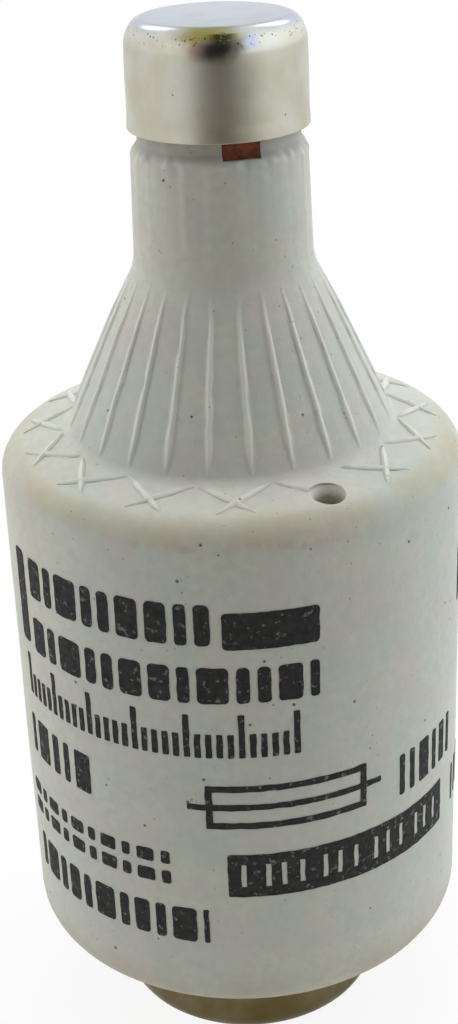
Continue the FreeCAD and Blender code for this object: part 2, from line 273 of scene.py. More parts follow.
def soft_blot(m, place, centre, radius, ragged=0.5):
    """Mask of a blot with a soft, ragged edge about a point, all in millimetres."""
    shifted = node(m, "VectorMath", {0: place, 1: [c * MM for c in centre]}, operation="SUBTRACT")
    away = node(m, "VectorMath", {0: shifted}, operation="LENGTH")
    drift = node(m, "TexNoise", {"Vector": place, "Scale": per_mm(radius * 0.5), "Detail": 4.0})
    edge = node(m, "Math", {0: drift, 1: ragged * radius * MM, 2: away}, operation="MULTIPLY_ADD")
    full = 0.35 * radius * MM
    gone = (1.0 + ragged / 2) * radius * MM
    ends = {"From Min": full, "From Max": gone, "To Min": 1.0, "To Max": 0.0}
    return node(m, "MapRange", {"Value": edge, **ends}, interpolation_type="SMOOTHSTEP")


def uneven(m, place, size, depth, detail=3.0, roughness=0.5, **below):
    """Normal of a surface with dents of that size and depth, in millimetres, over a Normal below it."""
    grain = {"Scale": per_mm(size), "Detail": detail, "Roughness": roughness}
    dents = node(m, "TexNoise", {"Vector": place, **grain})
    return node(m, "Bump", {"Height": dents, "Distance": depth * MM, "Strength": 1.0, **below})


def draw_marks(m, place, width, length, depth):
    """Normal of a drawn wall: fine upright marks, as the punch leaves them, in millimetres."""
    stretched = node(m, "Mapping", {"Vector": place, "Scale": (1.0, 1.0, width / length)})
    return uneven(m, stretched, width, depth, roughness=0.6)


# Patches on the porcelain: colour, strength, size in millimetres, noise at their edge and middle, detail
porcelain_tones = [
    ("#b1b4aa", 0.4, 0.45, 0.3, 0.7, 3.0),
    ("#cbc5bd", 0.5, 1.4, 0.35, 0.65, 2.0),
    ("#b3c2b8", 0.35, 3.6, 0.48, 0.62, 2.0),
    ("#c3b8ba", 0.3, 2.7, 0.5, 0.64, 2.0),
]

# Middle of the blind hole's floor, and the red spots on the shoulder's edge
hole_floor = at_angle(hole_place_r, hole_angle, shoulder_z - hole_depth)
rust_spots = [
    (-2.9, -10.45, 30.78),
    (-2.55, -10.5, 30.76),
    (-1.5, -10.7, 30.7),
    (-0.55, -10.8, 30.55),
    (-0.4, -10.78, 30.62),
]
rust_spot_r = 0.09
hole_grime_and_shade_r = 1.45

# The real grain is finer than 0.1 mm; it is drawn coarser so that it shows
grain_size = 0.16


def relief_mm(m, r, z):
    """How far a point stands out from the plain cone and the plain shoulder: more than nothing only on the
    ribs and the zigzag strokes."""
    cone = (cone_base_r - neck_bottom_r) / (cone_top_z - shoulder_z)
    fall = shoulder_fall / (barrel_top_r - cone_base_r)
    apex_r = neck_bottom_r + cone * cone_top_z
    cone_r = node(m, "Math", {0: z, 1: -cone, 2: apex_r}, operation="MULTIPLY_ADD")
    off_cone = node(m, "Math", {0: r, 1: cone_r}, operation="SUBTRACT")
    apex_z = shoulder_z + fall * cone_base_r
    flat_z = node(m, "Math", {0: r, 1: -fall, 2: apex_z}, operation="MULTIPLY_ADD")
    off_shoulder = node(m, "Math", {0: z, 1: flat_z}, operation="SUBTRACT")
    return node(m, "Math", {0: off_cone, 1: off_shoulder}, operation="MINIMUM")


def fired_porcelain():
    """Unglazed electrical porcelain, pressed dry and fired: matt and chalky to the eye, a grey-white that
    drifts between warm and cool, peppered with iron specks and open pores."""
    m, place = placed_material("fired_porcelain")
    y, z = axes_mm(m, place)[1:]
    r = radius_mm(m, place)
    tone = two_tone(m, place, 7.0, "#c4c9c1", "#cdccbf", 0.35, 0.65, detail=2.0)
    for colour, strength, size, low, high, detail in porcelain_tones:
        tone = overlay(m, tone, colour, strength, patches(m, place, size, low, high, detail=detail))

    # Olive tint on the upper edge and tan on the lower one, from handling, and a groove darkened by grime
    # and painted shade
    handled = patches(m, place, 3.0, 0.2)
    tone = overlay(m, tone, "#b3a67f", 0.55, belt(m, z, (29.6, 30.4), (30.8, 31.15)), handled)
    tone = overlay(m, tone, "#b8a389", 0.7, belt(m, z, fall=(5.4, 8.0)), handled)
    tone = overlay(m, tone, "#8f9188", 0.5, belt(m, z, rise=(neck_top_z, groove_z)),
                   patches(m, place, 1.2, 0.1, 0.6, start=0.4))

    # Rust rubbed on at the front of the upper edge: a faint broken line with a few small red spots above it
    drift = node(m, "TexNoise", {"Vector": place, "Scale": per_mm(4.0), "Detail": 3.0})
    level = node(m, "Math", {0: z, 1: drift}, operation="SUBTRACT")
    tone = overlay(m, tone, "#c08a78", 0.32, belt(m, level, (29.0, 29.3), (29.35, 29.7)),
                   belt(m, y, fall=(-10.0, -9.0)), patches(m, place, 0.9, 0.35, 0.65, detail=4.0))
    for spot in rust_spots:
        tone = overlay(m, tone, "#a8402c", 0.85, soft_blot(m, place, spot, rust_spot_r, 1.0))

    # Ribs and strokes are paler along their crests, but not the fillet at the cone's foot
    relief = relief_mm(m, r, z)
    on_ribs = belt(m, z, (shoulder_z + 0.3, shoulder_z + 0.5), (cone_top_z - 0.9, cone_top_z - 0.3))
    on_strokes = belt(m, r, rise=(cone_base_r + 0.3, cone_base_r + 0.5))
    off_fillet = node(m, "Math", {0: on_ribs, 1: on_strokes}, operation="MAXIMUM")
    tone = overlay(m, tone, "#e3e2d8", 0.55, belt(m, relief, rise=(0.02, 0.1)), off_fillet)
    # Darker olive inside the blind hole: grime, and painted shade in the recess
    tone = overlay(m, tone, "#858660", 0.8, soft_blot(m, place, hole_floor, hole_grime_and_shade_r, 0.2))

    bold = specks(m, place, 0.95, 0.11, 0.5)
    tone = overlay(m, tone, "#6d6759", 0.55, specks(m, place, 0.55, 0.07, 0.45))
    tone = overlay(m, tone, "#6b5337", 0.45, specks(m, place, 0.8, 0.09, 0.3))
    tone = overlay(m, tone, "#2c2821", 0.9, bold)

    normal = uneven(m, place, 3.0, 0.05, detail=2.0)
    normal = uneven(m, place, grain_size, 0.011, roughness=0.6, Normal=normal)
    pits = node(m, "Math", {0: specks(m, place, 0.6, 0.07, 0.35), 1: bold}, operation="MAXIMUM")
    normal = node(m, "Bump", {"Height": pits, "Distance": 0.03 * MM, "Strength": 1.0, "Normal": normal},
                  invert=True)
    return surface(m, {
        "Base Color": tone,
        "Roughness": patches(m, place, grain_size, start=0.58, end=0.72),
        "IOR": 1.53,
        "Subsurface Weight": 0.12,
        "Subsurface Radius": (1.0, 0.9, 0.75),
        "Subsurface Scale": 0.5 * MM,
        "Normal": normal,
    })


# Heat tint, with painted reflection and sheen in it: centre and radius in millimetres, raggedness, strength
# and colour
heat_tint_and_painted_reflection = [
    ((-0.75, -3.85, 49.45), 0.9, 0.5, 0.75, "#8a6038"),
    ((-0.55, -3.95, 49.2), 0.7, 0.5, 0.55, "#6d5a66"),
    ((-0.1, -4.0, 49.27), 0.8, 0.5, 0.9, "#2b2527"),
    ((0.45, -3.97, 49.3), 0.8, 0.6, 0.9, "#2f2c28"),
    ((0.95, -3.87, 49.38), 0.6, 0.8, 0.8, "#35352c"),
    ((1.5, -3.65, 49.5), 0.55, 0.5, 0.75, "#a3b0d6"),
]
crescent_centre = (-0.3, -3.6, 49.8)

# The real draw marks are a few hundredths of a millimetre wide; they are drawn wider so that they show
draw_mark_width = 0.12


def nickel_plate(rim_z, edge_z):
    """Nickel-plated brass, deep drawn: a satin champagne shine with fine upright draw marks, pinholes under
    the rounded edge and bare yellow brass along the cut rim."""
    m, place = placed_material("nickel_plate_on_brass")
    z = axes_mm(m, place)[2]
    r = radius_mm(m, place)
    side = two_tone(m, place, 1.6, "#c4c2b7", "#bbb6a5", 0.35)
    # The top's bluish grey is a painted reflection of the bright room above it
    top = two_tone(m, place, 1.2, "#b0b4bb", "#a9acb0", 0.35)
    painted_sky_on_top = belt(m, z, rise=(edge_z - 0.5, edge_z - 0.08))
    tone = node(m, "Mix", {0: painted_sky_on_top, 6: side, 7: top}, data_type="RGBA")

    # Front of the rounded edge: brown heat tint, dark painted reflection, blue painted sheen, and an olive
    # belt above
    for centre, radius, ragged, strength, colour in heat_tint_and_painted_reflection:
        tone = overlay(m, tone, colour, strength, soft_blot(m, place, centre, radius, ragged))
    tone = overlay(m, tone, "#74713a", 0.95, belt(m, r, (2.95, 3.35), (3.7, 3.95)),
                   belt(m, z, rise=(edge_z - 0.75, edge_z - 0.4)),
                   soft_blot(m, place, crescent_centre, 2.3), patches(m, place, 0.5, 0.1, 0.35, detail=4.0))
    tone = overlay(m, tone, "#bfb06a", 1.0, belt(m, z, fall=(rim_z + 0.01, rim_z + 0.1)),
                   patches(m, place, 1.4, 0.4, detail=2.0))
    in_groups = patches(m, place, 0.9, 0.35, 0.45, detail=2.0)
    under_edge = belt(m, z, (edge_z - 0.8, edge_z - 0.6), (edge_z - 0.3, edge_z - 0.1))
    crowd = node(m, "Math", {0: specks(m, place, 0.16, 0.07, 0.85), 1: in_groups}, operation="MULTIPLY")
    crowd = node(m, "Math", {0: crowd, 1: under_edge}, operation="MULTIPLY")
    pinholes = node(m, "Math", {0: crowd, 1: specks(m, place, 0.7, 0.06, 0.4)}, operation="MAXIMUM")
    tone = overlay(m, tone, "#3b382c", 0.8, pinholes)

    normal = draw_marks(m, place, draw_mark_width, 5.0, 0.0012)
    normal = uneven(m, place, 1.2, 0.005, detail=2.0, Normal=normal)
    normal = node(m, "Bump", {"Height": pinholes, "Distance": 0.01 * MM, "Strength": 1.0, "Normal": normal},
                  invert=True)
    ends = {"From Min": edge_z - 0.9, "From Max": edge_z - 0.2, "To Min": 0.36, "To Max": 0.22}
    polished = node(m, "MapRange", {"Value": z, **ends}, interpolation_type="SMOOTHSTEP")
    return surface(m, {"Base Color": tone, "Metallic": 1.0, "Roughness": polished, "Normal": normal})


def tarnished_and_shaded_plate():
    """Nickel plate gone olive-brown with age and handling, and painted darker as shade under the barrel: a
    dull, cloudy shine, darker in patches.
    """
    m, place = placed_material("tarnished_nickel_plate")
    tone = two_tone(m, place, 2.2, "#7d7154", "#675a38", detail=4.0)
    tone = overlay(m, tone, "#3a3424", 0.7, specks(m, place, 0.5, 0.06, 0.3))
    normal = draw_marks(m, place, 0.15, 4.0, 0.0016)
    return surface(m, {
        "Base Color": tone,
        "Metallic": 1.0,
        "Roughness": patches(m, place, 1.4, start=0.3, end=0.46),
        "Normal": uneven(m, place, 1.0, 0.006, Normal=normal),
    })


def oxidised_copper():
    """Rolled copper strip that has gone red-brown with cuprous oxide: dull, with a few brighter scrapes."""
    m, place = placed_material("oxidised_copper")
    tone = two_tone(m, place, 0.35, "#5b2f22", "#7d4330", 0.35, detail=4.0)
    upright = node(m, "Mapping", {"Vector": place, "Scale": (1.0, 1.0, 0.07)})
    tone = overlay(m, tone, "#a8674c", 0.6, patches(m, upright, 0.08, 0.62, 0.72))
    return surface(m, {
        "Base Color": tone,
        "Metallic": 0.7,
        "Roughness": patches(m, place, 0.2, start=0.42, end=0.6),
        "Normal": uneven(m, place, 0.12, 0.006),
    })


def stamped_ink():
    """Black marking ink stamped on porcelain and baked: matt, thinner towards worn spots where the pale
    ceramic shows through."""
    m, place = placed_material("stamped_black_ink")
    tone = two_tone(m, place, 1.5, "#0a0b0a", "#161613")
    return surface(m, {
        "Base Color": overlay(m, tone, "#8f8d84", 0.55, patches(m, place, 0.28, 0.58, 0.7, detail=5.0)),
        "Roughness": patches(m, place, 0.3, start=0.7, end=0.9),
        "IOR": 1.5,
        "Normal": uneven(m, place, grain_size, 0.008, roughness=0.6),
    })


def red_lacquer():
    """Brass disc dipped in red lacquer: glossy, with a slight orange-peel surface."""
    m, place = placed_material("red_lacquered_brass")
    return surface(m, {
        "Base Color": two_tone(m, place, 0.8, "#b3201a", "#9a1813"),
        "Roughness": 0.3,
        "IOR": 1.45,
        "Normal": uneven(m, place, 0.3, 0.006, detail=2.0),
    })


def tin_solder():
    """Tin solder left to set by itself: pale grey metal with a frosty, fine-grained skin."""
    m, place = placed_material("tin_solder")
    return surface(m, {
        "Base Color": two_tone(m, place, 0.25, "#c6c8c9", "#a3a5a6", detail=4.0),
        "Metallic": 1.0,
        "Roughness": patches(m, place, 0.12, start=0.28, end=0.5),
        "Normal": uneven(m, place, 0.1, 0.008),
    })


def drawn_wire(name, light, dark):
    """Drawn steel or nickel-chromium wire: bright grey, with fine lengthwise draw marks."""
    m, place = placed_material(name)
    return surface(m, {
        "Base Color": two_tone(m, place, 0.6, light, dark),
        "Metallic": 1.0,
        "Roughness": patches(m, place, 0.1, start=0.25, end=0.42),
        "Normal": uneven(m, place, 0.06, 0.003, detail=2.0),
    })


def vulcanised_fibre():
    """Vulcanised fibre washer, punched from red-brown sheet: dry, with short matted fibres."""
    m, place = placed_material("vulcanised_fibre")
    flat = node(m, "Mapping", {"Vector": place, "Scale": (1.0, 1.0, 5.0)})
    return surface(m, {
        "Base Color": two_tone(m, flat, 0.35, "#7a4a36", "#935f46", detail=5.0),
        "Roughness": 0.8,
        "Normal": uneven(m, flat, 0.35, 0.02, detail=5.0, roughness=0.7),
    })


def quartz_sand():
    """Washed quartz sand, packed tight: pale grains about 0.3 mm across, some glassy and some milky."""
    m, place = placed_material("quartz_sand")
    grains = node(m, "TexVoronoi", {"Vector": place, "Scale": per_mm(0.3)})
    shade, gloss = node(m, "SeparateColor", {0: grains.outputs["Color"]}).outputs[:2]
    lump = grains.outputs["Distance"]
    return surface(m, {
        "Base Color": overlay(m, linear("#d8cdb2"), "#b9a985", 1.0, shade),
        "Roughness": node(m, "MapRange", {"Value": gloss, "To Min": 0.35, "To Max": 0.8}),
        "Normal": node(m, "Bump", {"Height": lump, "Distance": 0.12 * MM, "Strength": 1.0}),
    })


# Segments of a rounded corner, on a turned profile and in the flat ink layer
profile_segments = 7
ink_segments = 5


def round_off(bm, verts, reach, segments):
    bmesh.ops.bevel(bm, geom=verts, offset=reach, segments=segments, profile=0.5, affect="VERTICES",
                    material=-1)


def corner_chain(bm, corners, closed):
    """Wire in the plane y = 0 through (r, z, reach) corners, rounded from that reach along their sides."""
    verts = [bm.verts.new((r, 0.0, z)) for r, z, reach in corners]
    ends = verts[1:] + verts[:1] if closed else verts[1:]
    for a, b in zip(verts, ends):
        bm.edges.new((a, b))
    for vert, corner in zip(verts, corners):
        if corner[2] > 0:
            round_off(bm, [vert], corner[2], profile_segments)


def split_long(bm, longest):
    """Divides the long edges on the wire's outer side, by (low z, high z, greatest length) rules."""
    for low, high, length in longest:
        for edge in list(bm.edges):
            middle = (edge.verts[0].co + edge.verts[1].co) / 2
            cuts = int(edge.calc_length() / length)
            if low < middle.z < high and middle.x > chamber_r + 1e-3 and cuts > 0:
                bmesh.ops.subdivide_edges(bm, edges=[edge], cuts=cuts)


def spin_round(bm, steps):
    """Spins the wire about Z into a closed skin and turns its faces outwards."""
    geom = bm.verts[:] + bm.edges[:]
    bmesh.ops.spin(bm, geom=geom, cent=(0, 0, 0), axis=(0, 0, 1), dvec=(0, 0, 0),
                   angle=2 * math.pi, steps=steps, use_merge=True, use_duplicate=False)
    bmesh.ops.remove_doubles(bm, verts=bm.verts[:], dist=1e-5)
    bmesh.ops.recalc_face_normals(bm, faces=bm.faces[:])


def new_object(name, data):
    made = bpy.data.objects.new(name, data)
    bpy.context.scene.collection.objects.link(made)
    return made


def mesh_object(bm, name):
    mesh = bpy.data.meshes.new(name)
    bm.to_mesh(mesh)
    bm.free()
    return new_object(name, mesh)


def finished(made, material, body="fuse_link", sharp=35.0, stands_for=()):
    """Brings a piece to metres, smooths it, gives it its material and puts it on its body, if any."""
    made.data.transform(Matrix.Scale(MM, 4))
    made.data.shade_smooth()
    made.data.set_sharp_from_angle(angle=math.radians(sharp))
    made.data.materials.clear()
    made.data.materials.append(material)
    if stands_for:
        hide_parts(*stands_for)
    if body:
        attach(made, body)


def carve(target, tool, operation):
    """Joins a tool mesh to the target, or cuts it out, and removes the tool."""
    change = target.modifiers.new("carve", "BOOLEAN")
    change.operation = operation
    change.solver = "MANIFOLD"
    change.object = tool
    graph = bpy.context.evaluated_depsgraph_get()
    result = bpy.data.meshes.new_from_object(target.evaluated_get(graph))
    target.modifiers.clear()
    target.data = result
    bpy.data.objects.remove(tool)


def rib_lift(r, degrees, z):
    """How far the surface stands out at a place on the cone, where a rib crosses it."""
    from_neck = cone_top_z - z - rib_start_from_neck
    from_shoulder = z - shoulder_z - rib_end_from_shoulder
    if from_neck <= 0 or from_shoulder <= 0:
        return 0.0
    length = cone_top_z - shoulder_z - rib_start_from_neck - rib_end_from_shoulder
    share = from_neck / length
    half_width = rib_top_half_width + (rib_low_half_width - rib_top_half_width) * share
    point = min(1.0, from_shoulder / rib_fade_low)
    half_width *= rib_point + (1.0 - rib_point) * math.sqrt(point)
    place = at_angle(r, degrees, z)
    half_width *= 1.0 + rib_raggedness * noise.noise(place * rib_ragged_rate)
    height = rib_height * min(1.0, from_neck / rib_fade_top) * math.sqrt(point)
    pitch = 360.0 / rib_count
    off = (degrees - rib_phase + pitch / 2) % pitch - pitch / 2
    wander = rib_wander * noise.noise(place * rib_wander_rate + Vector((17.0, 5.0, 3.0)))
    across = abs((math.radians(off) * r + wander) / half_width)
    if across >= 1:
        return 0.0
    return height * (1 - across * across) ** rib_crest


def shoulder_height(r):
    """Height of the sloping shoulder at radius r."""
    return shoulder_z - shoulder_fall * (r - cone_base_r) / (barrel_top_r - cone_base_r)


def shape_bottle(bm):
    """Crowds the rings' points at the ribs, lifts the ribs, chips the neck's upper edge and gives the
    pressed body slow waves."""
    slope = math.atan2(cone_base_r - neck_bottom_r, cone_top_z - shoulder_z)
    for vert in bm.verts:
        r = math.hypot(vert.co.x, vert.co.y)
        degrees = math.degrees(math.atan2(vert.co.y, vert.co.x)) + 90.0
        from_rib = math.radians((degrees - rib_phase) * rib_count)
        degrees -= math.degrees(rib_crowding * math.sin(from_rib) / rib_count)
        z = vert.co.z
        on_cone = r > neck_bottom_r - 0.5 and shoulder_z < z < cone_top_z
        lift = rib_lift(r, degrees, z) if on_cone else 0.0
        if r > foot_spigot_r + 0.02 and chip_low_z < z < groove_z:
            share = min(1.0, (z - chip_low_z) / chip_fade_low, (groove_z - z) / chip_fade_top)
            lift = chip_depth * share * noise.noise(at_angle(r, degrees, z) * chip_rate)
        inside = r < chamber_r + 0.1 and z < neck_bore_z and not on_cone
        if not inside:
            r += barrel_wave * noise.noise(vert.co * barrel_wave_rate)
        vert.co = at_angle(r + lift * math.cos(slope), degrees, z + lift * math.sin(slope))


def stroke_tool(side):
    """The zigzag strokes that lean to one side, as one mesh of pointed ridges with rounded crests. The one
    that would run into the blind hole is left out."""
    bm = bmesh.new()
    step = 360.0 / zigzag_periods
    for k in range(zigzag_periods):
        apex_angle = zigzag_phase + (k + 0.5) * step
        if side < 0 and 0 < apex_angle - hole_angle < step / 2:
            continue
        apex = at_angle(stroke_apex_r, apex_angle, shoulder_height(stroke_apex_r))
        cross = at_angle(stroke_cross_r, apex_angle + side * step / 2, apex.z)
        tip = cross + (cross - apex).normalized() * stroke_overshoot
        tip.z = shoulder_height(math.hypot(tip.x, tip.y))
        along = (tip - apex).normalized()
        across = Vector((0, 0, 1)).cross(along).normalized()
        place = Matrix((across, along.cross(across), along)).transposed().to_4x4()
        place.translation = (apex + tip) / 2
        size = Matrix.Diagonal((stroke_half_width, stroke_height, (tip - apex).length / 2, 1.0))
        made = bmesh.ops.create_uvsphere(bm, u_segments=stroke_segments, v_segments=stroke_segments,
                                         radius=1.0)["verts"]
        for vert in made:
            across_part = abs(vert.co.x) ** stroke_roundness
            upward_part = abs(vert.co.y) ** stroke_roundness
            reach = math.hypot(vert.co.x, vert.co.y)
            if reach > 1e-4:
                vert.co.xy *= reach ** stroke_crest / (across_part + upward_part) ** (1 / stroke_roundness)
        bmesh.ops.transform(bm, matrix=place @ size, verts=made)
        for vert in made:
            vert.co += stroke_raggedness * noise.noise_vector(vert.co * stroke_ragged_rate)
    return mesh_object(bm, "stroke_tool")


def hole_tool():
    """Cutter for the blind hole, with a flared rim."""
    top = shoulder_height(hole_place_r)
    bm = bmesh.new()
    corner_chain(bm, [
        (0.0, top - hole_depth, 0.0),
        (hole_r, top - hole_depth, hole_floor_round),
        (hole_r, top - hole_flare, hole_rim_round),
        (hole_r + hole_flare, top + hole_rim_rise, 0.0),
        (hole_r + hole_flare, top + past_surface, 0.0),
        (0.0, top + past_surface, 0.0),
    ], closed=False)
    spin_round(bm, hole_steps)
    bmesh.ops.translate(bm, verts=bm.verts[:], vec=at_angle(hole_place_r, hole_angle, 0.0))
    return mesh_object(bm, "hole_tool")


def slot_tool(width, depth, r, low_z, high_z, degrees):
    """Box cutter for a slot of that depth in a spigot of radius r."""
    reach = 2.0
    size = Matrix.Diagonal((width, reach, high_z - low_z, 1.0))
    centre = Matrix.Translation((0.0, -(r - depth) - reach / 2, (low_z + high_z) / 2))
    turn = Matrix.Rotation(math.radians(degrees), 4, "Z")
    bm = bmesh.new()
    bmesh.ops.create_cube(bm, size=1.0, matrix=turn @ centre @ size)
    return mesh_object(bm, "slot_tool")


def make_ceramic_body():
    bm = bmesh.new()
    low_z = ceramic_low.z
    high_z = ceramic_high.z
    corner_chain(bm, [
        (chamber_r, low_z, small_edge),
        (head_spigot_r, low_z, spigot_bevel),
        (head_spigot_r, barrel_bottom_z, 0.0),
        (barrel_bottom_r, barrel_bottom_z, barrel_bottom_round),
        (barrel_top_r, shoulder_z - shoulder_fall, shoulder_round),
        (cone_base_r, shoulder_z, cone_base_reach),
        (neck_bottom_r, cone_top_z, neck_bottom_reach),
        (neck_top_r, neck_top_z, small_edge),
        (foot_spigot_r, groove_z, small_edge / 2),
        (foot_spigot_r, high_z, spigot_bevel),
        (neck_bore_r, high_z, small_edge),
        (neck_bore_r, neck_bore_z, 0.0),
        (chamber_r, chamber_top_z, 0.0),
    ], closed=True)
    split_long(bm, [
        (barrel_bottom_z + 1.0, shoulder_z - 1.5, 2.4),
        (shoulder_z - 0.6, shoulder_z - 0.02, 0.2),
        (shoulder_z + 0.2, cone_top_z - 0.3, 0.16),
        (cone_top_z + 0.3, chip_low_z - 0.5, 0.8),
        (chip_low_z - 0.5, groove_z, 0.1),
    ])
    spin_round(bm, rib_count * steps_per_rib)
    shape_bottle(bm)
    body = mesh_object(bm, "ceramic_bottle")
    carve(body, stroke_tool(-1), "UNION")
    carve(body, stroke_tool(1), "UNION")
    carve(body, hole_tool(), "DIFFERENCE")
    past = high_z + past_surface
    for slot in (
        (strip_slot_width, strip_slot_depth_foot, foot_spigot_r, foot_slot_low_z, past, strip_angle),
        (strip_slot_width, strip_slot_depth_head, head_spigot_r, 0.0, head_slot_top_z, strip_angle),
        (wire_notch_width, wire_notch_depth, foot_spigot_r, wire_notch_low_z, past, strip_angle + 180.0),
    ):
        carve(body, slot_tool(*slot), "DIFFERENCE")
    finished(body, porcelain, stands_for=["ceramic_body"])


# Foot contact cup
foot_wall = 0.28
foot_top_r = 3.94
foot_edge = 0.52
foot_edge_fall = 0.6
foot_edge_round = 0.48
foot_taper = 0.05
foot_land = 2.6
foot_side_r = 4.0
foot_rim_lift = 0.7
foot_bend = 0.3
foot_inner_bend = 0.1
foot_cut_edge = 0.05

# Head contact cup
head_wall = 0.35
head_edge = 1.2
well_r = 2.3
well_depth = 3.2
well_lip = 0.5
well_bend = 0.12
head_inner_bend = 0.15
head_cut_edge = 0.06
wire_hole_r = 0.45
cup_steps = 192


def make_foot_cup():
    rim_z = foot_low.z
    top_z = foot_high.z
    rim_r = foot_high.x
    bm = bmesh.new()
    corner_chain(bm, [
        (0.0, top_z, 0.0),
        (foot_top_r - foot_edge, top_z, foot_bend),
        (foot_side_r - foot_taper, top_z - foot_edge_fall, foot_edge_round),
        (foot_side_r, rim_z + foot_land, foot_bend),
        (foot_side_r, rim_z + foot_rim_lift, foot_inner_bend),
        (rim_r, rim_z, foot_cut_edge),
        (rim_r - foot_wall, rim_z, foot_cut_edge),
        (foot_side_r - foot_wall, rim_z + foot_rim_lift, foot_inner_bend),
        (foot_side_r - foot_wall, top_z - foot_edge_fall - foot_wall / 2, foot_inner_bend),
        (foot_top_r - foot_edge - foot_wall / 2, top_z - foot_wall, foot_inner_bend),
        (0.0, top_z - foot_wall, 0.0),
    ], closed=False)
    spin_round(bm, cup_steps)
    cup = mesh_object(bm, "foot_contact_cup")
    finished(cup, nickel, stands_for=["foot_contact_cap"])


def make_head_cup():
    rim_z = head_high.z
    outer_r = head_high.x
    bm = bmesh.new()
    corner_chain(bm, [
        (outer_r, rim_z, head_cut_edge),
        (outer_r, 0.0, head_edge),
        (well_r, 0.0, well_lip),
        (well_r, well_depth, well_bend),
        (wire_hole_r, well_depth, 0.0),
        (wire_hole_r, well_depth + head_wall, 0.0),
        (well_r + head_wall, well_depth + head_wall, head_wall),
        (well_r + head_wall, head_wall, head_inner_bend),
        (outer_r - head_wall, head_wall, head_edge - head_wall),
        (outer_r - head_wall, rim_z, head_cut_edge),
    ], closed=True)
    spin_round(bm, cup_steps)
    cup = mesh_object(bm, "head_contact_cup")
    finished(cup, tarnished_and_shaded, stands_for=["head_contact_cap"])


# Indicator disc, punched: rounded on its outer face, and the blob of solder over its bore
disc_bore_r = 0.3
disc_bore_edge = 0.04
disc_face_edge = 0.08
disc_back_edge = 0.06
disc_steps = 96
blob_unevenness = 0.08
blob_rate = 3.0


def make_indicator_disc():
    low = disc_low.z
    high = disc_high.z
    bm = bmesh.new()
    corner_chain(bm, [
        (disc_bore_r, low, disc_bore_edge),
        (disc_high.x, low, disc_face_edge),
        (disc_high.x, high, disc_back_edge),
        (disc_bore_r, high, 0.0),
    ], closed=True)
    spin_round(bm, disc_steps)
    disc = mesh_object(bm, "indicator_disc_red")
    finished(disc, lacquer, "indicator", stands_for=["indicator_disc"])


def make_solder_dot():
    """Blob of solder over the disc's bore, a little uneven."""
    bm = bmesh.new()
    bmesh.ops.create_uvsphere(bm, u_segments=32, v_segments=16, radius=1.0)
    upper = [vert for vert in bm.verts if vert.co.z > 1e-4]
    bmesh.ops.delete(bm, geom=upper, context="VERTS")
    rim = [edge for edge in bm.edges if edge.is_boundary]
    bmesh.ops.contextual_create(bm, geom=rim)
    bmesh.ops.scale(bm, vec=(dot_high.x, dot_high.y, dot_high.z - dot_low.z), verts=bm.verts[:])
    bmesh.ops.translate(bm, vec=(0, 0, dot_high.z), verts=bm.verts[:])
    for vert in bm.verts:
        vert.co.xy *= 1.0 + blob_unevenness * (noise.noise(vert.co * blob_rate) - 0.5)
    dot = mesh_object(bm, "indicator_solder_blob")
    finished(dot, solder, "indicator", stands_for=["disc_solder_dot"])


# Spring behind the disc: open turns, with three quarters of a closely wound turn at each end
spring_wire_r = 0.15
spring_wire_segments = 12
spring_end_turns = 0.75
spring_open_turns = 2.5
spring_end_rise = 0.24
spring_steps_per_turn = 48


def make_spring():
    """Round-wire coil, put on no body."""
    coil_r = (spring_high.y - spring_low.y) / 2 - spring_wire_r
    bm = bmesh.new()
    turn = Matrix.Rotation(math.pi / 2, 4, "X")
    start = Matrix.Translation((coil_r, 0.0, spring_low.z + spring_wire_r))
    bmesh.ops.create_circle(bm, segments=spring_wire_segments, radius=spring_wire_r, matrix=start @ turn)
    open_rise = spring_high.z - spring_low.z - 2 * spring_wire_r - 2 * spring_end_rise
    ring = bm.verts[:] + bm.edges[:]
    first = bm.edges[:]
    for turns, rise in ((spring_end_turns, spring_end_rise), (spring_open_turns, open_rise),
                        (spring_end_turns, spring_end_rise)):
        steps = int(turns * spring_steps_per_turn)
        made = bmesh.ops.spin(bm, geom=ring, cent=(0, 0, 0), axis=(0, 0, 1), dvec=(0, 0, rise / steps),
                              angle=turns * 2 * math.pi, steps=steps, use_merge=False, use_duplicate=False)
        ring = made["geom_last"]
    bmesh.ops.contextual_create(bm, geom=first)
    bmesh.ops.contextual_create(bm, geom=[item for item in ring if isinstance(item, bmesh.types.BMEdge)])
    bmesh.ops.remove_doubles(bm, verts=bm.verts[:], dist=1e-5)
    bmesh.ops.recalc_face_normals(bm, faces=bm.faces[:])
    coil = mesh_object(bm, "indicator_coil")
    finished(coil, spring_wire, None, sharp=50.0, stands_for=["indicator_spring"])
    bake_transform(coil)


# Stamped marks on the barrel: bars, blocks, ticks and the usual outline sign for a fuse. Left and right
# are in degrees from the front, and the rest in millimetres
ink_lift = 0.012
ink_thickness = 0.02
ink_grid = 0.16
ink_wobble = 0.035
ink_wobble_rate = 2.2
ink_reach = math.radians(120.0) * barrel_top_r
ink_low_z = 9.0
ink_high_z = 28.0
ink_r = (barrel_bottom_r + barrel_top_r) / 2

# Blocks: left, right, low, high, corner
ink_blocks = [
    (-68.5, -63.5, 22.4, 27.2, 0.25),
    (-3.8, 19.0, 25.0, 26.8, 0.22),
]

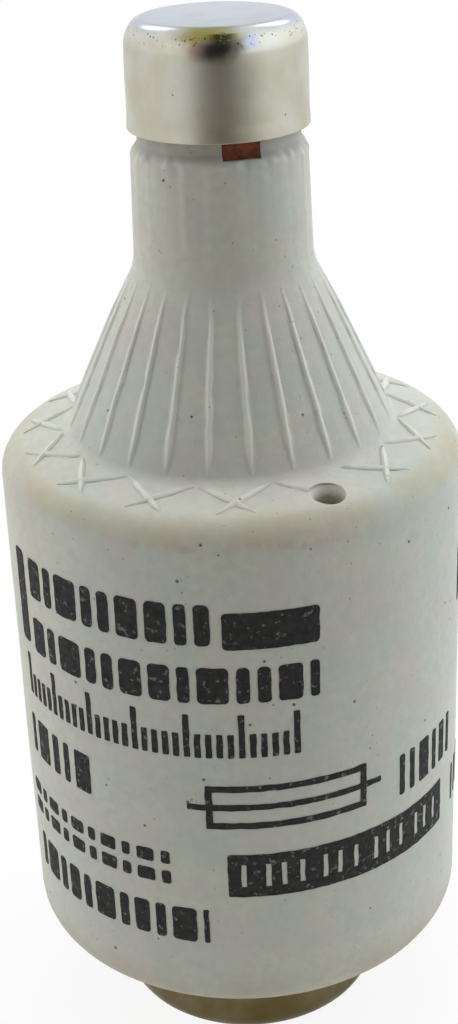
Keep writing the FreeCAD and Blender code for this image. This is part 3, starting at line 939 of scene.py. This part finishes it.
# Rows of bars: left, right, low, high, the bars' widths, gap, corner
wide_bars = (1.0, 0.55, 1.4, 0.6, 0.6, 1.1)
fine_bars = (0.34, 0.34, 0.8, 0.34, 0.55, 0.34)
narrowest_bar = 0.2
ink_bar_rows = [
    (-60.5, -6.5, 25.2, 27.2, wide_bars, 0.34, 0.22),
    (-60.5, 18.8, 22.3, 24.1, wide_bars, 0.34, 0.22),
    (-68.5, -41.0, 16.1, 18.2, (0.4, 1.1, 0.5), 0.45, 0.12),
    (42.0, 67.0, 15.3, 17.5, fine_bars, 0.4, 0.1),
    (-72.0, -18.5, 12.35, 13.05, (0.9, 0.45), 0.36, 0.14),
    (-72.0, -18.5, 13.45, 14.15, (0.9, 0.45), 0.36, 0.14),
    (-70.0, -10.0, 9.2, 11.1, (0.5, 1.2, 0.5, 0.8), 0.34, 0.2),
    (74.0, 108.0, 22.8, 25.6, fine_bars, 0.5, 0.1),
    (71.0, 112.0, 11.8, 13.9, fine_bars, 0.5, 0.1),
]

# Row of ticks: left, right, low, high, count, width in degrees. Every fifth is tall
ink_ticks = (-66.0, 13.0, 19.5, 21.7, 31, 1.5)
tick_every = 5
tick_short = 0.55
tick_corner = 0.05

# The sign for a fuse: an outline block with a line through it
sign_columns = (-14.0, -9.5, -7.8, 29.3, 31.0, 35.5)
sign_rows = (15.7, 16.02, 16.7, 17.0, 17.68, 18.0)
sign_cells = (".###.", ".#.#.", "#####", ".#.#.", ".###.")
sign_corner = 0.06

# Slotted block: left, right, its rows, the bars' widths, the slots' width, corner
ink_slotted = (-4.8, 61.5, (11.9, 12.45, 13.7, 14.25), (0.62, 0.9, 0.5), 0.24, 0.1)


def flat_block(bm, left, right, low, high, corner):
    """Flat block between two angles and two heights, laid out on the plane of arc length and height."""
    start = math.radians(left) * ink_r
    end = math.radians(right) * ink_r
    centre = Matrix.Translation(((start + end) / 2, (low + high) / 2, 0.0))
    size = Matrix.Diagonal(((end - start) / 2, (high - low) / 2, 1.0, 1.0))
    made = bmesh.ops.create_grid(bm, x_segments=1, y_segments=1, size=1.0, matrix=centre @ size)
    round_off(bm, made["verts"], corner, ink_segments)


def tick_row(bm, left, right, low, high, count, width):
    """Row of upright ticks, some of them full height and the rest shorter."""
    for k in range(count):
        middle = left + (right - left) * k / (count - 1)
        top = high if k % tick_every == 0 else low + tick_short * (high - low)
        flat_block(bm, middle - width / 2, middle + width / 2, low, top, tick_corner)


def lattice(bm, columns, rows, pattern, corner):
    """Cells between upright and level lines, in millimetres, as one sheet with rounded outer corners. The
    pattern has a # for each cell that is filled."""
    points = {}
    for low, cells in enumerate(pattern):
        for left, cell in enumerate(cells):
            if cell != "#":
                continue
            around = ((left, low), (left + 1, low), (left + 1, low + 1), (left, low + 1))
            for spot in around:
                if spot not in points:
                    points[spot] = bm.verts.new((columns[spot[0]], rows[spot[1]], 0.0))
            bm.faces.new([points[spot] for spot in around])
    outer = [vert for vert in points.values() if len(vert.link_faces) == 1]
    round_off(bm, outer, corner, ink_segments)


def bar_spans(left, right, widths, gap):
    """Starts and ends of bars from one angle to another, as lengths of arc. Their widths repeat a list."""
    place = math.radians(left) * ink_r
    end = math.radians(right) * ink_r
    spans = []
    while place < end - narrowest_bar:
        width = min(widths[len(spans) % len(widths)], end - place)
        spans.append((place, place + width))
        place += width + gap
    return spans


def slotted_block(bm, left, right, rows, widths, gap, corner):
    """Block with upright slots in its middle row, between bars."""
    columns = [side for span in bar_spans(left, right, widths, gap) for side in span]
    whole = "#" * (len(columns) - 1)
    lattice(bm, columns, rows, [whole, whole.replace("##", "#."), whole], corner)


def bar_row(bm, left, right, low, high, widths, gap, corner):
    """Row of upright bars from one angle to another."""
    for start, end in bar_spans(left, right, widths, gap):
        reach = min(corner, (end - start) * 0.35)
        flat_block(bm, math.degrees(start / ink_r), math.degrees(end / ink_r), low, high, reach)


def make_printed_marks():
    """Lays the marks out flat, cuts them fine, lets their edges waver, and wraps them round the barrel."""
    bm = bmesh.new()
    for block in ink_blocks:
        flat_block(bm, *block)
    for row in ink_bar_rows:
        bar_row(bm, *row)
    tick_row(bm, *ink_ticks)
    columns = [math.radians(degrees) * ink_r for degrees in sign_columns]
    lattice(bm, columns, sign_rows, sign_cells, sign_corner)
    slotted_block(bm, *ink_slotted)
    for start, end, way in ((-ink_reach, ink_reach, (1, 0, 0)), (ink_low_z, ink_high_z, (0, 1, 0))):
        for k in range(int((end - start) / ink_grid)):
            bmesh.ops.bisect_plane(bm, geom=bm.verts[:] + bm.edges[:] + bm.faces[:], dist=1e-6,
                                   plane_co=Vector(way) * (start + k * ink_grid), plane_no=way)
    for vert in bm.verts:
        vert.co.x += ink_wobble * noise.noise(vert.co * ink_wobble_rate)
        vert.co.y += ink_wobble * noise.noise(vert.co * ink_wobble_rate + Vector((31.0, 7.0, 0.0)))
    body = bmesh.ops.extrude_face_region(bm, geom=bm.faces[:])
    top = [item for item in body["geom"] if isinstance(item, bmesh.types.BMVert)]
    bmesh.ops.translate(bm, verts=top, vec=(0, 0, ink_thickness))
    for vert in bm.verts:
        share = (vert.co.y - barrel_bottom_z) / (shoulder_z - shoulder_fall - barrel_bottom_z)
        r = barrel_bottom_r + (barrel_top_r - barrel_bottom_r) * share
        degrees = math.degrees(vert.co.x / ink_r)
        base = at_angle(r, degrees, vert.co.y)
        wave = barrel_wave * noise.noise(base * barrel_wave_rate)
        vert.co = at_angle(r + wave + ink_lift - ink_thickness / 2 + vert.co.z, degrees, vert.co.y)
    bmesh.ops.recalc_face_normals(bm, faces=bm.faces[:])
    finished(mesh_object(bm, "printed_marks"), ink, sharp=60.0)


# Camera fitted to the photograph: place in millimetres, angles in radians, focal length in pixels
camera_back = 77.308
camera_height = 62.773
camera_pitch = 0.43863
camera_yaw = -0.00293
camera_roll = 0.04011
focal_pixels = 1768.26
image_height = 1024
sensor_mm = 36.0


def place_camera():
    right = Vector((math.cos(camera_yaw), -math.sin(camera_yaw), 0.0))
    level = math.cos(camera_pitch)
    ahead = Vector((math.sin(camera_yaw) * level, math.cos(camera_yaw) * level, -math.sin(camera_pitch)))
    upward = right.cross(ahead)
    tilted_right = right * math.cos(camera_roll) - upward * math.sin(camera_roll)
    tilted_up = right * math.sin(camera_roll) + upward * math.cos(camera_roll)
    data = bpy.data.cameras.new("camera")
    data.sensor_width = sensor_mm
    data.lens = focal_pixels * sensor_mm / image_height
    data.clip_start = 0.001
    data.clip_end = 20.0
    camera = new_object("camera", data)
    pose = Matrix((tilted_right, tilted_up, -ahead)).transposed().to_4x4()
    pose.translation = Vector((0.0, -camera_back, camera_height)) * MM
    camera.matrix_world = pose
    bpy.context.scene.camera = camera


# Floor, in millimetres. Its shade lies a little to the right of straight ahead
floor_hole_r = 5.4
floor_r = 2000.0
floor_drop = 0.01
floor_segments = 64
shade_way = (0.156, -0.988, 0.0)
shade_sides = (0.55, 0.98)
shade_start = (45 * MM, 85 * MM)


def lay_floor():
    """Pale paper floor, plain white to the camera and in reflections, with a small round opening under the
    head contact. It is see-through from below, and in front it lies in a soft shade."""
    bm = bmesh.new()
    for r in (floor_hole_r, floor_r):
        bmesh.ops.create_circle(bm, segments=floor_segments, radius=r * MM)
    bmesh.ops.bridge_loops(bm, edges=bm.edges[:])
    bmesh.ops.translate(bm, verts=bm.verts[:], vec=(0, 0, -floor_drop * MM))
    bmesh.ops.recalc_face_normals(bm, faces=bm.faces[:])
    for face in bm.faces:
        if face.normal.z < 0:
            face.normal_flip()
    floor = mesh_object(bm, "floor")
    m, place = placed_material("floor_paper")
    away = node(m, "VectorMath", {0: place}, operation="LENGTH")
    way = node(m, "VectorMath", {0: place}, operation="NORMALIZE")
    to_front = node(m, "VectorMath", {0: way, 1: shade_way}, operation="DOT_PRODUCT")
    ahead = belt(m, to_front, rise=shade_sides)
    shade = node(m, "Math", {0: ahead, 1: belt(m, away, rise=shade_start)}, operation="MULTIPLY")
    paper = node(m, "Mix", {0: shade, 6: linear("#e6e6e3"), 7: linear("#6c655a")}, data_type="RGBA")
    path = node(m, "LightPath").outputs
    mirrored = node(m, "Math", {0: path["Is Glossy Ray"], 1: shade}, operation="MULTIPLY")
    glow = node(m, "Mix", {0: mirrored, 6: (1, 1, 1, 1), 7: linear("#8f8678")}, data_type="RGBA")
    through = path["Is Transmission Ray"]
    direct = node(m, "Math", {0: path["Is Camera Ray"], 1: through}, operation="MAXIMUM")
    direct = node(m, "Math", {0: direct, 1: 0.9}, operation="MULTIPLY")
    seen = node(m, "Math", {0: path["Is Glossy Ray"], 1: 0.5, 2: direct}, operation="MULTIPLY_ADD")
    lit = node(m, "MixShader", {
        0: seen,
        1: node(m, "BsdfDiffuse", {"Color": paper}).outputs[0],
        2: node(m, "Emission", {"Color": glow, "Strength": 1.0}).outputs[0],
    })
    both = node(m, "MixShader", {
        0: node(m, "NewGeometry").outputs["Backfacing"],
        1: lit.outputs[0],
        2: node(m, "BsdfTransparent").outputs[0],
    })
    node(m, "OutputMaterial", {"Surface": both})
    floor.data.materials.append(m)


# Light of the room on matt surfaces and in reflections: all round, from sides given by an axis and the ramps
# into them and out of them, and on the dim side
room_light = ((0.98, 1.0, 1.02), (0.84, 0.87, 0.91))
room_sides = [
    (0, from_start, (-0.9, -0.2), (1.32, 1.34, 1.35), (0.98, 1.0, 1.02)),
    (0, (0.2, 0.9), to_end, (1.66, 1.77, 1.84), (1.3, 1.39, 1.46)),
    (2, (0.5, 0.95), to_end, (1.26, 1.26, 1.24), (1.22, 1.22, 1.17)),
]
dim_light = ((0.032, 0.028, 0.022), (0.08, 0.063, 0.049))
dim_wide = (-0.75, 0.03)
dim_narrow = (-0.97, -0.84)
room_strength = 1.19

# Soft lamps, in metres
lamp_size = 0.16
lamp_energy = 0.11
lamp_place = (0.15, 0.25, 0.3)
lamp_aim = Vector((0, 0, 0.03))


def light_room():
    """White room light, stronger from above and the left, strongest and coolest from the right and dim on
    the camera's side, with two soft lamps behind. The dim side is wide for matt surfaces and narrow in
    reflections."""
    world = bpy.data.worlds.new("room")
    world.use_nodes = True
    world.node_tree.nodes.clear()
    bpy.context.scene.world = world
    path = node(world, "LightPath").outputs
    glossy = path["Is Glossy Ray"]
    way = node(world, "SeparateXYZ", {0: node(world, "TexCoord").outputs["Generated"]}).outputs
    wide = belt(world, way[1], fall=dim_wide)
    narrow = belt(world, way[1], fall=dim_narrow)
    dim = node(world, "Mix", {0: glossy, 2: wide, 3: narrow}, data_type="FLOAT")
    sides = [(belt(world, way[axis], rise, fall), *light) for axis, rise, fall, *light in room_sides]
    matt, mirrored = room_light
    room = node(world, "Mix", {0: glossy, 6: (*matt, 1.0), 7: (*mirrored, 1.0)}, data_type="RGBA")
    for toward, matt, mirrored in [*sides, (dim, *dim_light)]:
        light = node(world, "Mix", {0: glossy, 6: (*matt, 1.0), 7: (*mirrored, 1.0)}, data_type="RGBA")
        room = node(world, "Mix", {0: toward, 6: room, 7: light}, data_type="RGBA")
    seen = node(world, "Mix", {0: path["Is Camera Ray"], 6: room, 7: (1, 1, 1, 1)}, data_type="RGBA")
    background = node(world, "Background", {"Color": seen, "Strength": room_strength})
    node(world, "OutputWorld", {"Surface": background})
    for side in (-1, 1):
        data = bpy.data.lights.new("softbox", "AREA")
        data.shape = "DISK"
        data.size = lamp_size
        data.energy = lamp_energy
        lamp = new_object("softbox", data)
        lamp.location = (side * lamp_place[0], lamp_place[1], lamp_place[2])
        aim = lamp_aim - lamp.location
        lamp.rotation_euler = aim.to_track_quat("-Z", "Y").to_euler()


# Dark board, in metres: its first edge, and the axis and angle that it is swept about
board_left = -0.03
board_right = 0.1
board_start = (-0.3, -0.02)
board_middle_z = 0.045
board_sweep = math.radians(85)
board_steps = 12


def stand_dark_board():
    """Dark curved board behind and above the camera, which the metal mirrors under its rounded edge. The
    camera doesn't see it, and it takes no light from matt surfaces."""
    bm = bmesh.new()
    left = bm.verts.new((board_left, *board_start))
    right = bm.verts.new((board_right, *board_start))
    side = bm.edges.new((left, right))
    bmesh.ops.spin(bm, geom=[left, right, side], cent=(0, 0, board_middle_z), axis=(-1, 0, 0),
                   dvec=(0, 0, 0), angle=board_sweep, steps=board_steps, use_merge=False,
                   use_duplicate=False)
    board = mesh_object(bm, "dark_board")
    m = new_material("dark_cloth")
    node(m, "OutputMaterial", {"Surface": node(m, "BsdfDiffuse", {"Color": linear("#35332f")})})
    board.data.materials.append(m)
    board.visible_camera = False
    board.visible_diffuse = False


porcelain = fired_porcelain()
nickel = nickel_plate(foot_low.z, foot_high.z)
tarnished_and_shaded = tarnished_and_shaded_plate()
lacquer = red_lacquer()
solder = tin_solder()
ink = stamped_ink()
spring_wire = drawn_wire("spring_wire", "#a9abad", "#8b8d90")

hidden_finishes = {
    "fuse_strip": oxidised_copper(),
    "overload_solder": solder,
    "indicator_wire": drawn_wire("resistance_wire", "#9d9a94", "#7f7c76"),
    "head_sealing_washer": vulcanised_fibre(),
    "foot_sealing_washer": vulcanised_fibre(),
    "quartz_sand": quartz_sand(),
}
for part, material in hidden_finishes.items():
    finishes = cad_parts[part].data.materials
    finishes.clear()
    finishes.append(material)

make_ceramic_body()
make_foot_cup()
make_head_cup()
make_indicator_disc()
make_solder_dot()
make_spring()
make_printed_marks()
place_camera()
lay_floor()
light_room()
stand_dark_board()
bpy.context.scene.view_settings.view_transform = "Standard"
